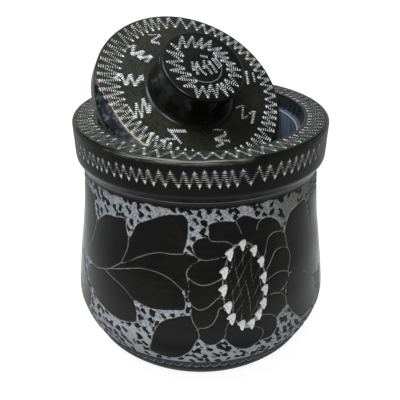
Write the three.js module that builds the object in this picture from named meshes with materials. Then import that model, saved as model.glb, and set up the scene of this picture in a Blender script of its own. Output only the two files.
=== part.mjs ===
// A turned soapstone cooking pot with its knobbed lid lodged aslant in the mouth.
// Millimetres, +Z up. The origin is the centre of the flat foot that the pot stands on.
import * as THREE from "three";

// Outside of the pot: heights are above the foot.
const potHeight = 155;
const footRadius = 58;
const heelRadius = 62.2;
const heelHeight = 3;
const hemRadius = 71.6;
const hemHeight = 14;
const heelBulge = 1;
const flareRadius = 77.4;
const flareHeight = 24;
const bellyRadius = 81.3;
const bellyHeight = 36;
const flankRadius = 80.7;
const flankHeight = 51;
const shoulderRadius = 78.5;
const shoulderHeight = 71;
const waistRadius = 75.6;
const waistHeight = 96;
const neckRadius = 74.1;
const neckHeight = 124;

// The collar: a thick band that stands out round the mouth.
const collarRadius = 80;
const collarFootRadius = 78.8;
const collarFootDrop = 21;
const collarEdge = 2.4;

// The mouth: a rebate, a little wider at the rim, round the ledge that the closed lid sits on.
const rebateRadius = 62.8;
const mouthFlare = 1.8;
const mouthEdge = 0.8;
const ledgeDepth = 8;
const ledgeWidth = 2.8;
const ledgeEdge = 0.8;
const mouthRadius = rebateRadius + mouthFlare;
const ledgeRadius = rebateRadius - ledgeWidth;

// The hollow.
const wallThickness = 14;
const floorThickness = 14;
const floorCorner = 16;

// The lid: a flat disc, loose in the rebate, with a tall round knob carved from the same stone.
const lidPlay = 1.3;
const lidRadius = rebateRadius - lidPlay;
const lidThickness = 11;
const lidTopEdge = 1.2;
const lidFootEdge = 0.4;
const knobRadius = 26.8;
const knobHeight = 26.7;
const knobEdge = 2;
const knobWaistRadius = 25;
const knobWaistHeight = 12;
const knobFlareRadius = 30.5;
const knobCrown = 0.8;

// How the lid lies: tipped down towards tipAzimuth until a chord of its foot jams across the ledge,
// chordSetback behind the pot's axis.
const lidTip = 38.7;
const tipAzimuth = -60;
const chordSetback = 8.4;
const seatGap = 0.3;

// Facets round the axis, and steps along the profiles.
const potFacets = 72;
const lidFacets = 64;
const bodySteps = 24;
const wallSteps = 10;
const curveSteps = 6;
const edgeSteps = 4;
const fineEdgeSteps = 2;

function stone(color, roughness) {
  return new THREE.MeshStandardMaterial({ color, roughness, metalness: 0 });
}

// Turns a profile of (radius, height) points about the +Z axis.
function turned(points, facets) {
  const geometry = new THREE.LatheGeometry(points, facets);
  geometry.rotateX(Math.PI / 2);
  return geometry;
}

function spline(stations, steps) {
  return new THREE.SplineCurve(stations.map(([r, z]) => new THREE.Vector2(r, z))).getPoints(steps);
}

function quarter(from, corner, to, steps) {
  const [a, b, c] = [from, corner, to].map(([r, z]) => new THREE.Vector2(r, z));
  return new THREE.QuadraticBezierCurve(a, b, c).getPoints(steps);
}

// Drops each point that repeats the one before it.
function joined(...runs) {
  return runs.flat().filter((p, i, all) => i === 0 || p.distanceTo(all[i - 1]) > 1e-6);
}

const bodyStations = [
  [footRadius, 0],
  [heelRadius, heelHeight],
  [(heelRadius + hemRadius) / 2 + heelBulge, (heelHeight + hemHeight) / 2],
  [hemRadius, hemHeight],
  [flareRadius, flareHeight],
  [bellyRadius, bellyHeight],
  [flankRadius, flankHeight],
  [shoulderRadius, shoulderHeight],
  [waistRadius, waistHeight],
  [neckRadius, neckHeight],
];

function potProfile() {
  const collarFoot = potHeight - collarFootDrop;
  const ledgeHeight = potHeight - ledgeDepth;
  const undercut = new THREE.CubicBezierCurve(
    new THREE.Vector2(neckRadius, neckHeight),
    new THREE.Vector2(neckRadius, (neckHeight + collarFoot) / 2),
    new THREE.Vector2(collarFootRadius, (neckHeight + collarFoot) / 2),
    new THREE.Vector2(collarFootRadius, collarFoot),
  ).getPoints(curveSteps);
  const collarTop = quarter(
    [collarRadius, potHeight - collarEdge],
    [collarRadius, potHeight],
    [collarRadius - collarEdge, potHeight],
    edgeSteps,
  );
  const mouth = quarter(
    [mouthRadius + mouthEdge, potHeight],
    [mouthRadius, potHeight],
    [mouthRadius, potHeight - mouthEdge],
    fineEdgeSteps,
  );
  const ledge = [
    new THREE.Vector2(rebateRadius, ledgeHeight),
    ...quarter(
      [ledgeRadius + ledgeEdge, ledgeHeight],
      [ledgeRadius, ledgeHeight],
      [ledgeRadius, ledgeHeight - ledgeEdge],
      fineEdgeSteps,
    ),
  ];
  const wallStations = bodyStations
    .filter(([, z]) => z > floorThickness + floorCorner)
    .map(([r, z]) => [r - wallThickness, z]);
  const lowest = wallStations[0];
  const wallTop = [ledgeRadius, ledgeHeight - 2 * ledgeEdge];
  const wall = spline([wallTop, ...wallStations.reverse()], wallSteps);
  const floor = quarter(
    lowest,
    [lowest[0], floorThickness],
    [lowest[0] - floorCorner, floorThickness],
    edgeSteps,
  );
  return joined(
    [new THREE.Vector2(0, 0)],
    spline(bodyStations, bodySteps),
    undercut,
    collarTop,
    mouth,
    ledge,
    wall,
    floor,
    [new THREE.Vector2(0, floorThickness)],
  );
}

function lidProfile() {
  const top = lidThickness + knobHeight;
  const flare = quarter(
    [knobFlareRadius, lidThickness],
    [knobWaistRadius, lidThickness],
    [knobWaistRadius, lidThickness + knobWaistHeight],
    curveSteps,
  );
  const knobSide = new THREE.Vector2(knobRadius, top - knobEdge);
  const knobShoulder = quarter(
    [knobRadius, top - knobEdge],
    [knobRadius, top],
    [knobRadius - knobEdge, top],
    edgeSteps,
  );
  return joined(
    [new THREE.Vector2(0, 0), new THREE.Vector2(lidRadius - lidFootEdge, 0)],
    [
      new THREE.Vector2(lidRadius, lidFootEdge),
      new THREE.Vector2(lidRadius, lidThickness - lidTopEdge),
      new THREE.Vector2(lidRadius - lidTopEdge, lidThickness),
    ],
    flare,
    [knobSide],
    knobShoulder,
    [new THREE.Vector2(0, top + knobCrown)],
  );
}

// Distance, along the lid's foot, from its middle to the jammed chord, whose two ends lie seatGap
// inside the eased edge of the ledge.
const easedEdges = (ledgeEdge + lidFootEdge) / 3;
const chordOffset = Math.sqrt(
  lidRadius ** 2 - (ledgeRadius + easedEdges - seatGap) ** 2 + chordSetback ** 2,
);

const pot = new THREE.Mesh(turned(potProfile(), potFacets), stone(0x2b2b29, 0.35));
pot.name = "pot";

const lid = new THREE.Mesh(turned(lidProfile(), lidFacets), stone(0x2e2e2b, 0.32));
lid.name = "lid";
const tip = THREE.MathUtils.degToRad(lidTip);
lid.rotation.y = tip;
lid.position.set(
  -chordSetback - chordOffset * Math.cos(tip),
  0,
  potHeight - ledgeDepth + chordOffset * Math.sin(tip),
);

const lidHeading = new THREE.Group();
lidHeading.rotation.z = THREE.MathUtils.degToRad(tipAzimuth);
lidHeading.add(lid);

const cookingPot = new THREE.Group();
cookingPot.add(pot, lidHeading);

export default cookingPot;
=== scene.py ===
import math
import random

import bpy
import numpy as np
from mathutils import Matrix, Vector


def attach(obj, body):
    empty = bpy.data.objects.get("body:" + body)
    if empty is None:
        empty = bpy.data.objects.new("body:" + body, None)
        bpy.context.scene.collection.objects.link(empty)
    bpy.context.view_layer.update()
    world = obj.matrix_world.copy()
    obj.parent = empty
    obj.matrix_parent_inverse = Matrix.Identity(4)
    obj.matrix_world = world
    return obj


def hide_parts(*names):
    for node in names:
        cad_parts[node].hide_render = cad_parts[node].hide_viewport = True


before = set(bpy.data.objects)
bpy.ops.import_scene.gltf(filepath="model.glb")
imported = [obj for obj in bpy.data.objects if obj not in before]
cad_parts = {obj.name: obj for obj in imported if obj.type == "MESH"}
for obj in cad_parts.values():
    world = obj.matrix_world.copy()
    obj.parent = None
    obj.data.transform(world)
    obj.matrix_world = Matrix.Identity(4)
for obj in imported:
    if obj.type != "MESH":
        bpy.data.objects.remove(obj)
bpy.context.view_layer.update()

# Everything is in millimetres until a mesh is made.
METRES = 0.001

# The profile of the pot, (radius, height above the foot), as in the CAD.
FOOT_FLAT = 57.2
BODY = [
    (58.0, 0.0), (62.2, 3.0), (67.9, 8.5), (71.6, 14.0), (77.4, 24.0),
    (81.3, 36.0), (80.7, 51.0), (78.5, 71.0), (75.6, 96.0), (74.1, 124.0),
]
NECK = 124.0
COLLAR_FOOT = 134.0
COLLAR_SHOULDER = 152.6
RIM = 155.0
LEDGE = 147.0
UNDERCUT = [(74.1, NECK), (74.1, 129.0), (78.8, 129.0), (78.8, COLLAR_FOOT)]
COLLAR_EDGE = [(80.0, COLLAR_SHOULDER), (80.0, RIM), (77.6, RIM)]
MOUTH_EDGE = [(65.4, RIM), (64.6, RIM), (64.6, 154.2)]
LEDGE_CORNER = (62.8, LEDGE)
LEDGE_EDGE = [(60.8, LEDGE), (60.0, LEDGE), (60.0, 146.2)]
LEDGE_LIP = (60.3, 146.7)
WALL = [(60.0, 145.4), (60.1, 124.0), (61.6, 96.0), (64.5, 71.0), (66.7, 51.0), (67.3, 36.0)]
FLOOR_CORNER = [(67.3, 36.0), (67.3, 14.0), (51.3, 14.0)]

# The lid, in its own frame, with its foot at height 0: a disc, and a knob that flares into it.
LID_RADIUS = 61.5
LID_FACE = 11.0
LID_SIDE_FOOT = 0.4
LID_SIDE_TOP = 9.8
LID_FOOT_EDGE = [(61.1, 0.0), (LID_RADIUS, LID_SIDE_FOOT)]
LID_TOP_EDGE = [(LID_RADIUS, LID_SIDE_TOP), (61.2, 10.6), (60.3, LID_FACE)]
KNOB_TOP = 37.7
KNOB_FLARE = [(30.5, LID_FACE), (25.0, LID_FACE), (25.0, 23.0)]
KNOB_SHOULDER = [(26.8, 35.7), (26.8, KNOB_TOP), (24.8, KNOB_TOP)]
KNOB_CENTRE = [(1.2, 38.46), (0.0, 38.5)]

# How the lid lies: tipped about its own Y axis, moved, then turned about the pot's axis.
LID_TIP = 38.7
LID_PLACE = (-20.512, 0.0, 156.704)
LID_HEADING = -60.0

# Angles on a solid run anticlockwise from +X, and angles on the pot's ornament from its front.
FRONT = -90.0
POT_SEAM = 90.0
LID_SEAM = 120.0

# Vertices in a carved ring, and how many times fewer there are in a plain one.
COLUMNS = 960
COARSE = 4

# A mark is where its field is above 0. These are a field far from any mark, and a gap to nothing.
UNMARKED = -9.0
FAR_OFF = 9.0

# How deep the scratched ground, the scratched lines and the gouges are.
GROUND_DEPTH = 0.32
LINE_DEPTH = 0.22
GOUGE_DEPTH = 0.4

# Every mark that varies draws from here, always in the same order.
noise = random.Random(11)


# Curves

# Rings closer than this are one.
SAME_RING = 0.02


def run_along(points):
    """Distance along a row of points, from its start."""
    return np.concatenate([[0.0], np.cumsum(np.hypot(*np.diff(points, axis=0).T))])


def along_bezier(points, count=24):
    """A quadratic or cubic Bezier curve through its control points."""
    t = np.linspace(0.0, 1.0, count + 1)[:, None]
    points = [np.array(p, float) for p in points]
    while len(points) > 1:
        points = [(1 - t) * a + t * b for a, b in zip(points, points[1:])]
    return points[0]


def catmull_rom(p0, p1, p2, p3, t):
    v0, v1 = (p2 - p0) / 2, (p3 - p1) / 2
    return (2 * p1 - 2 * p2 + v0 + v1) * t**3 + (3 * p2 - 3 * p1 - 2 * v0 - v1) * t**2 + v0 * t + p1


def along_spline(points, per_span=30, closed=False):
    """A Catmull-Rom spline through its points."""
    p = np.array(points, float)
    p = np.vstack([p[-1:], p, p[:2]] if closed else [p[:1], p, p[-1:]])
    t = np.linspace(0.0, 1.0, per_span, endpoint=False)[:, None]
    spans = [catmull_rom(*p[k:k + 4], t) for k in range(len(p) - 3)]
    return np.vstack(spans if closed else spans + [p[-1:]])


def closed_spline(points):
    return along_spline(points, 6, True)


def resampled(points, spacing):
    """The same line with points an even distance apart."""
    points = np.array(points, float)
    run = run_along(points)
    count = max(1, round(run[-1] / spacing))
    at = np.linspace(0.0, run[-1], count + 1)
    return np.stack([np.interp(at, run, points[:, k]) for k in (0, 1)], axis=1)


def ring_list(*runs):
    """Joins runs of (points, spacing, fine) into rings of (radius, height, fine)."""
    rings = []
    for points, spacing, fine in runs:
        for r, z in resampled(points, spacing):
            if rings and math.hypot(r - rings[-1][0], z - rings[-1][1]) < SAME_RING:
                continue
            rings.append((max(r, 0.0), z, fine))
    return rings


def polar(angle, radius):
    return radius * math.cos(math.radians(angle)), radius * math.sin(math.radians(angle))


def turned_from(degrees):
    """The same angle between -180 and 180."""
    return (degrees + 180.0) % 360.0 - 180.0


def faded(value, start, width):
    """Rises from 0 at start to 1 a width further on, or a width before it if width is negative."""
    return np.clip((value - start) / width, 0, 1)


# Turned solids

def add_object(name, data):
    thing = bpy.data.objects.new(name, data)
    bpy.context.scene.collection.objects.link(thing)
    return thing


def fill_mesh(mesh, place, blocks):
    """Gives a mesh its vertices, and its faces from blocks of (vertex numbers, UVs)."""
    corner = np.concatenate([vertex.ravel() for vertex, _ in blocks])
    uv = np.concatenate([part.reshape(-1, 2) for _, part in blocks])
    sides = np.concatenate([np.full(len(vertex), vertex.shape[1]) for vertex, _ in blocks])
    start = np.concatenate([[0], np.cumsum(sides)[:-1]])
    mesh.vertices.add(len(place))
    mesh.vertices.foreach_set("co", place.astype(np.float32).ravel())
    mesh.loops.add(len(corner))
    mesh.loops.foreach_set("vertex_index", corner.astype(np.int32))
    mesh.polygons.add(len(sides))
    mesh.polygons.foreach_set("loop_start", start.astype(np.int32))
    mesh.update(calc_edges=True)
    layer = mesh.uv_layers.new(name="OFBake")
    layer.data.foreach_set("uv", uv.astype(np.float32).ravel())


def add_attribute(mesh, name, kind, part, values):
    attribute = mesh.attributes.new(name, kind, "POINT")
    attribute.data.foreach_set(part, values.astype(np.float32).ravel())


class Turning:
    """A closed solid turned from rings. Its arrays have one entry per vertex, lengths in mm."""

    def __init__(self, rings, seam):
        radius, height, fine = (np.array(v, float) for v in zip(*rings))
        self.count = np.where(radius == 0, 1, np.where(fine > 0, COLUMNS, COLUMNS // COARSE))
        self.first = np.concatenate([[0], np.cumsum(self.count)[:-1]])
        self.run = run_along(np.stack([radius, height], axis=1))
        slope_r, slope_z = np.gradient(radius, self.run), np.gradient(height, self.run)
        size = np.hypot(slope_r, slope_z)
        self.ring = np.repeat(np.arange(len(rings)), self.count)
        column = np.arange(self.count.sum()) - self.first[self.ring]
        self.angle = (seam + 360.0 * column / self.count[self.ring]) % 360.0
        self.radius = radius[self.ring]
        self.height = height[self.ring]
        self.out_r = (slope_z / size)[self.ring]
        self.out_z = (-slope_r / size)[self.ring]
        self.fields = {}
        for name in ("ground", "scratch", "gouge"):
            self.field(name, UNMARKED)

    def field(self, name, value=0.0):
        """The values of a mesh attribute, which start as one value everywhere."""
        if name not in self.fields:
            self.fields[name] = np.full(len(self.ring), value)
        return self.fields[name]

    def fill(self, name, part, values):
        """Gives a field its values on a part of the surface."""
        self.field(name)[part] = values[part]

    def press(self, depth):
        """Moves the surface inwards by depth."""
        self.radius = np.maximum(self.radius - depth * self.out_r, 0.0)
        self.height = self.height - depth * self.out_z

    def press_marks(self):
        """Lowers the surface where it is scratched or gouged."""
        def into(name, soft):
            return np.clip(self.field(name) / soft + 0.5, 0, 1)

        scratched = np.maximum(GROUND_DEPTH * into("ground", 0.5), LINE_DEPTH * into("scratch", 0.5))
        self.press(np.maximum(scratched, GOUGE_DEPTH * into("gouge", 0.8)))

    def corners(self, ring, n):
        """The corners that a ring gives to each of n faces beside it, from left to right."""
        column = np.arange(n)
        step = self.count[ring] // n
        columns = [column * step + k for k in range(step + 1)] if step else [column + 0.5]
        up = np.full(n, self.run[ring] / self.run[-1])
        vertex = [self.first[ring] + np.floor(c).astype(int) % self.count[ring] for c in columns]
        return vertex, [np.stack([c / max(self.count[ring], n), up], axis=1) for c in columns]

    def faces(self):
        """Blocks of (vertex numbers, UVs), one for the faces between each two rings."""
        for ring in range(len(self.count) - 1):
            fewer, more = sorted(self.count[ring:ring + 2])
            n = fewer if fewer > 1 else more
            vertex, uv = self.corners(ring, n)
            next_vertex, next_uv = self.corners(ring + 1, n)
            yield np.stack(vertex + next_vertex[::-1], axis=1), np.stack(uv + next_uv[::-1], axis=1)

    def object(self, name, where=Matrix()):
        """A mesh object of this solid, in the row frame. Its attribute own keeps the solid's own frame."""
        turn = np.radians(self.angle)
        own = np.stack([self.radius * np.cos(turn), self.radius * np.sin(turn), self.height], axis=1)
        own = own * METRES
        where = np.array(where)
        mesh = bpy.data.meshes.new(name)
        fill_mesh(mesh, own @ where[:3, :3].T + where[:3, 3], list(self.faces()))
        for key, values in self.fields.items():
            add_attribute(mesh, key, "FLOAT", "value", values)
        add_attribute(mesh, "own", "FLOAT_VECTOR", "vector", own)
        mesh.shade_smooth()
        mesh.validate()
        return add_object(name, mesh)


# Marks on a surface

# How far past its ends a mark is worked out, and the radius inside which it is worked out all round.
DASH_REACH = 2.0
WEDGE_REACH = 3.0
INNER_RADIUS = 4.0
SHORTEST_CUT = 0.05
SHORTEST_LADDER = 0.6

# The half lengths of the short and long cuts that a ladder's thicknesses are for.
SHORT_AND_LONG = (0.4, 1.4)


class Patch:
    """Some vertices of a turning, sorted by angle, to gouge small marks on quickly."""

    def __init__(self, turning, chosen, level):
        index = np.flatnonzero(chosen)
        index = index[np.argsort(turning.angle[index], kind="stable")]
        angle = turning.angle[index]
        self.angle = np.concatenate([angle - 360, angle, angle + 360])
        self.index = np.tile(index, 3)
        self.radius = turning.radius[self.index]
        self.level = level[self.index]
        self.gouge = turning.field("gouge")

    def near(self, angle, reach):
        """The vertices near an angle, how far across from it they are, and their levels."""
        angle %= 360.0
        low, high = np.searchsorted(self.angle, [angle - reach, angle + reach])
        part = slice(low, high)
        across = np.radians(self.angle[part] - angle) * self.radius[part]
        return self.index[part], across, self.level[part]

    def raise_to(self, index, value):
        self.gouge[index] = np.maximum(self.gouge[index], value)

    def dash(self, angle, level, half_length, half_height, lean):
        """An oval mark, turned by lean degrees."""
        reach = math.degrees((half_length + DASH_REACH) / self.radius.min())
        index, x, y = self.near(angle, reach)
        y = y - level
        turn = math.radians(lean)
        p = x * math.cos(turn) + y * math.sin(turn)
        q = y * math.cos(turn) - x * math.sin(turn)
        edge = (1 - np.sqrt((p / half_length)**2 + (q / half_height)**2)) * half_height
        self.raise_to(index, edge)

    def wedge(self, angle, level, half_width, height):
        """A triangle on its broad end at level, with its point height further (down if negative)."""
        reach = math.degrees((half_width + WEDGE_REACH) / self.radius.min())
        index, x, y = self.near(angle, reach)
        t = (y - level) / height
        side = abs(height) * half_width / math.hypot(height, half_width)
        edge = np.minimum((1 - t - np.abs(x) / half_width) * side, t * abs(height))
        self.raise_to(index, edge)

    def cut(self, start, end, start_width, end_width):
        """A straight cut across a flat face, between points (x, y). Widths are halves."""
        (ax, ay), (bx, by) = start, end
        ex, ey = bx - ax, by - ay
        span = math.hypot(ex, ey)
        if span < SHORTEST_CUT:
            return
        middle = math.degrees(math.atan2(ay + by, ax + bx))
        nearest = math.hypot(ax + bx, ay + by) / 2 - span / 2
        reach = 180.0
        if nearest >= INNER_RADIUS:
            reach = min(math.degrees((span / 2 + DASH_REACH) / nearest), reach)
        index, across, level = self.near(middle, reach)
        turn = across / np.maximum(level, 1e-6) + math.radians(middle)
        x, y = level * np.cos(turn), level * np.sin(turn)
        t = np.clip(((x - ax) * ex + (y - ay) * ey) / span**2, 0, 1)
        gap = np.hypot(x - ax - t * ex, y - ay - t * ey)
        self.raise_to(index, start_width + (end_width - start_width) * t - gap)

    def stroke(self, start, end, start_width, end_width):
        """The same, between points (angle, radius)."""
        self.cut(polar(*start), polar(*end), start_width, end_width)

    def ladder(self, start, end, halves, thickness, skew=0.0, pitch=1.4):
        """A line walked with a rocked chisel: short cuts across it, a pitch apart. halves are their half
        lengths at its start, middle and end, and thickness the half widths of a short and a long one."""
        a, b = np.array(polar(*start)), np.array(polar(*end))
        length = math.hypot(*(b - a))
        if length < SHORTEST_LADDER:
            return
        way = math.atan2(*(b - a)[::-1]) + math.radians(90 + skew)
        across = np.array([math.cos(way), math.sin(way)])
        count = max(2, round(length / pitch))
        for k in range(count):
            t = (k + 0.5) / count
            half = float(np.interp(t, (0, 0.5, 1), halves))
            size = half * noise.uniform(0.82, 1.15)
            thick = float(np.interp(half, SHORT_AND_LONG, thickness)) * noise.uniform(0.85, 1.1)
            middle = a + (b - a) * t
            self.cut(middle - across * size, middle + across * size, thick, thick)


def outline_distance(outline, u, v):
    """Distance to a closed outline, negative inside it."""
    best = np.full(u.shape, np.inf)
    inside = np.zeros(u.shape, bool)
    for (ax, ay), (bx, by) in zip(outline, np.roll(outline, -1, axis=0)):
        ex, ey = bx - ax, by - ay
        t = np.clip(((u - ax) * ex + (v - ay) * ey) / max(ex * ex + ey * ey, 1e-12), 0, 1)
        best = np.minimum(best, (u - ax - t * ex)**2 + (v - ay - t * ey)**2)
        if ey:
            inside ^= ((ay > v) != (by > v)) & (u < ax + (v - ay) * ex / ey)
    return np.where(inside, -1, 1) * np.sqrt(best)


# The carved zone of the pot

# Points are (degrees from the front, height above the foot). The pattern runs round the pot twice.
LEAVES = [
    # left side, upper
    [(-64, 116.5), (-60.5, 114.5), (-59.5, 109), (-59, 104), (-58, 99), (-60, 92), (-63.5, 83),
     (-71, 71.5), (-78, 69), (-84, 74), (-88, 84), (-89, 96), (-86, 107), (-79, 114), (-71, 117)],
    [(-113, 58.5), (-115, 70), (-115.5, 82), (-116.5, 94.5), (-117, 104), (-118, 111.5), (-112, 113.5),
     (-104, 112), (-96, 106), (-90.5, 96), (-89.5, 84), (-91, 74), (-95, 67), (-100, 62.5), (-105, 58.5),
     (-109, 56.5)],
    # left side, lower
    [(-72, 66.5), (-67.5, 61), (-64, 56), (-61, 52), (-59.5, 47), (-59.5, 42.5), (-63, 36), (-72, 31),
     (-84, 30), (-96, 33), (-104, 39), (-107, 47), (-105, 56), (-98, 62), (-86, 65.5)],
    # upper left
    [(-38, 82.5), (-35.5, 91), (-34.5, 97.5), (-35.5, 105), (-36.5, 110.5), (-42.5, 109.5), (-48, 108.5),
     (-53, 104.5), (-57, 99), (-59, 92.5), (-62, 83.5), (-69, 72), (-62.5, 70), (-55, 70), (-49, 72.5),
     (-43.5, 76)],
    # upper middle
    [(-37.5, 82.5), (-34.5, 91.5), (-34, 98), (-32.5, 102), (-29.5, 109.5), (-25.5, 112.5),
     (-19.5, 116.5), (-14.5, 119), (-10, 119.5), (-7.5, 119.5), (-5.5, 115.5), (-5.5, 109.5), (-6, 103),
     (-7.5, 96.5), (-8.5, 95), (-13.5, 94.5), (-18, 94.5), (-23, 92.5), (-29.5, 88), (-34, 83)],
    # middle
    [(-43.5, 75.5), (-37.5, 81.5), (-34, 84), (-29.5, 88), (-23, 92.5), (-18, 94.5), (-13.5, 94.5),
     (-8.5, 95), (-4.5, 95), (-2, 93), (-0.5, 90.5), (-3.5, 88), (-6, 84.5), (-6, 80), (-4.5, 75.5),
     (-4.5, 72), (-9, 74), (-13.5, 79), (-20, 82), (-27.5, 82), (-34, 79.5)],
    # lower middle
    [(-47.5, 72), (-41, 76), (-34, 79.5), (-27.5, 82), (-20, 82), (-13.5, 79), (-9, 74), (-7, 68.5),
     (-6.5, 62.5), (-7.5, 60), (-13, 59), (-20, 58), (-23.5, 58.5), (-28, 60), (-31.5, 62),
     (-34.5, 65.5), (-38, 67.5), (-42.5, 69.5)],
    # lower left of the middle
    [(-49, 71.5), (-42.5, 69), (-38, 67), (-33.5, 63), (-30.5, 59.5), (-29, 55), (-28.5, 51.5),
     (-29, 46.5), (-32, 45), (-36.5, 44), (-42.5, 44.5), (-48, 46.5), (-54, 49), (-57.5, 53),
     (-62, 56.5), (-65.5, 61), (-63, 67.5), (-55, 69)],
    # bottom
    [(-23, 27), (-21.5, 35.5), (-20.5, 41.5), (-18.5, 47.5), (-15.5, 52), (-12, 54), (-8, 56),
     (-4.5, 56.5), (-3.5, 53), (-2, 48.5), (-1, 43), (-2.5, 37.5), (-4.5, 31.5), (-7.5, 27), (-10.5, 24),
     (-15, 23), (-19.5, 24.5)],
    # upper right
    [(43, 73.5), (45, 81.5), (42.5, 93), (42, 102.5), (43.5, 107.5), (45.5, 111), (49.5, 113),
     (53.5, 114), (57.5, 113.5), (60, 109.5), (61.5, 103.5), (63, 95.5), (64, 83), (65.5, 71),
     (66.5, 60), (63.5, 59.2), (59.8, 63), (55.5, 67.3), (49.5, 71)],
    # lower right
    [(43, 71), (48, 71), (54.5, 66.5), (59.3, 62), (63.2, 57.5), (66, 50), (66, 42), (60.5, 37.5),
     (54, 36.5), (50.5, 38), (46.5, 42.5), (43, 49), (41, 55.5), (41, 62.5)],
]
PETALS = [
    [(13, 96), (10, 92.5), (5.5, 92), (2, 91.5), (-0.5, 93), (-2.5, 95.5), (-3.5, 99.5), (-3, 102.5),
     (-1, 105), (1, 105.5), (3, 105.5), (4.5, 103.5), (7.5, 103), (11, 102.5), (14, 99.5)],
    [(15.5, 100), (11, 102.5), (6.5, 103), (4, 104.5), (3.5, 109.5), (3.5, 113.5), (5.5, 115),
     (9.5, 115.5), (13.5, 115), (16, 113.5), (18, 107.5), (19.5, 101.5)],
    [(20, 100.5), (18, 107.5), (16, 113.5), (16.5, 116), (19, 117.5), (22, 116.5), (25.5, 114),
     (27.5, 113), (26, 109.5), (25.5, 103), (25.5, 97), (23, 95)],
    [(26, 91), (25.5, 98), (25.5, 104.5), (26, 109.5), (27, 112), (30, 113.5), (32.5, 113), (36, 110.5),
     (38.5, 106.5), (39, 101.5), (35.5, 102.5), (32.5, 101), (31, 97), (30, 91), (28.5, 88.5)],
    [(29, 82), (29.5, 88), (30.5, 94), (31.5, 99), (33, 101.5), (36, 102.5), (39, 101.5), (41.5, 98.5),
     (42.5, 93.5), (42.5, 89.5), (38, 91), (35, 90), (33, 85.5), (31, 81.5)],
    [(29.5, 74), (30, 77.5), (31.5, 82), (33.5, 86), (35, 89), (37.5, 91), (41.5, 90.5), (44, 87),
     (44.5, 82.5), (43.5, 78), (42.5, 74), (40, 75.5), (36, 76), (32.5, 74.5)],
    [(29, 62.5), (29.5, 68.5), (29.5, 72), (32, 74.5), (36, 76), (40, 75.5), (43, 72), (42.5, 68),
     (39.5, 65), (36.5, 62.5), (34, 63.5)],
    [(26, 53), (29.5, 57.5), (29.5, 62), (31.5, 63.5), (35, 63), (38.5, 61), (40.5, 56.5), (40.5, 52.5),
     (38.5, 50), (36, 48), (34.5, 47.5), (31.5, 50.5)],
    [(22, 47.5), (26, 49.5), (27.5, 51.5), (31.5, 50.5), (34, 48), (35, 44.5), (35, 40.5), (33.5, 37),
     (32, 34.5), (28.5, 34), (26, 35), (27.5, 38), (27.5, 42)],
    [(19, 46), (23, 46), (26, 44), (27.5, 42), (27.5, 38), (25.5, 33.5), (23, 30.5), (20, 29.5),
     (16.5, 31.5), (13, 35.5), (11, 39.5), (10.5, 43.5), (11, 49), (14, 52)],
    [(13, 55), (11, 47.5), (10.5, 43), (8, 38.5), (5, 36.5), (2.5, 37.5), (0, 40.5), (-0.5, 44.5),
     (-0.5, 48), (2, 48.5), (5, 51), (7, 56), (8, 60.5), (10, 60)],
    [(12, 65), (8, 60.5), (7, 56), (5, 51), (2, 48.5), (-0.5, 48.5), (-2.5, 50.5), (-3.5, 54.5),
     (-4, 59), (-3.5, 62.5), (-1.5, 60.5), (1, 60.5), (4, 63), (7, 67)],
    [(11, 73), (7, 67), (4, 63), (1, 60.5), (-1.5, 61), (-4, 64), (-5.5, 68), (-5, 72), (-5.5, 77),
     (-5, 80), (-2.5, 77.5), (0.5, 76), (4, 76.5), (7.5, 78.5), (10, 79)],
    [(13, 85), (7.5, 78.5), (4, 76.5), (0.5, 76), (-2.5, 77.5), (-5, 80), (-6, 83.5), (-5, 87),
     (-3, 89.5), (-0.5, 91.5), (2.5, 91.5), (6, 92), (10, 93), (13, 92)],
]

# Where the outlines are worn away, (degrees, height, radius), and over how far, and how much.
WORN_LINES = [(65, 80, 13.5), (49.5, 70, 6.5), (25.5, 101, 6), (19, 101.5, 5)]
WORN_FADE = 2.5
WORN_MOST = 0.6

# The flower's oval centre, its two sets of curved hatch lines, (share of the way round, share of the
# way up, spacing, offset, half width), how far they sway and wear, and over what lengths, and the
# notches round it, in mm from each notch's own place.
FLOWER_CENTRE = (19.2, 74.5)
FLOWER_HALF_ANGLE = 9.8
FLOWER_HALF_HEIGHT = 26.0
FLOWER_LINE = 0.26
HATCHES = [(1.0, 0.08, 4.9, 1.1, 0.24), (0.82, -0.57, 4.7, 2.0, 0.18)]
HATCH_SWAY = 0.9
SWAY_UP = 7.0
SWAY_ACROSS = 9.0
HATCH_WEAR = 0.09
HATCH_WEAR_LENGTH = 5.0
HATCH_WEAR_SHIFT = 2.6
NOTCHES = [
    (18.5, 99.5), (24, 94.5), (27.5, 86.5), (28.5, 76), (29, 68), (28, 59.5), (25.5, 53), (22, 48),
    (17.5, 48.5), (13, 53.5), (11.5, 61.5), (9.5, 72.5), (10, 83.5), (12.5, 94.5),
]
NOTCH_SHAPE = [
    (-2.9, 0.3), (-0.9, 2.6), (1.9, 3.7), (3.1, 2.0), (2.4, -2.2), (0.9, -5.2), (-0.6, -3.6), (-1.2, -1.2),
]
NOTCH_BOX = (6.0, 8.0)
LEFT_NOTCH = 0.9
RIGHT_NOTCH = 0.82
LAST_LEFT_NOTCH = 14.0

# The zone runs from foot to top, and its top wanders by waves of (size, count, start in degrees).
ZONE_TOP = 123.0
ZONE_FOOT = 19.6
ZONE_WANDER = [(0.35, 26, 0), (0.25, 58, 40)]
LOWEST_MARK = 6.0
PATTERN_PERIOD = 180.0
PATTERN_RADIUS = 78.0
MM_PER_DEGREE = math.radians(PATTERN_RADIUS)

# Outlines are scratched. Leaves that lie closer than JOINED_GAP share one line between them.
LINE_HALF_WIDTH = 0.27
SHARED_HALF_WIDTH = 0.3
JOINED_GAP = 1.5
SHAPE_REACH = 4.0

# The bright line that edges each leaf where the ground beside it is wide.
EDGING_START = 0.1
EDGING_WIDTH = 0.75

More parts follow.
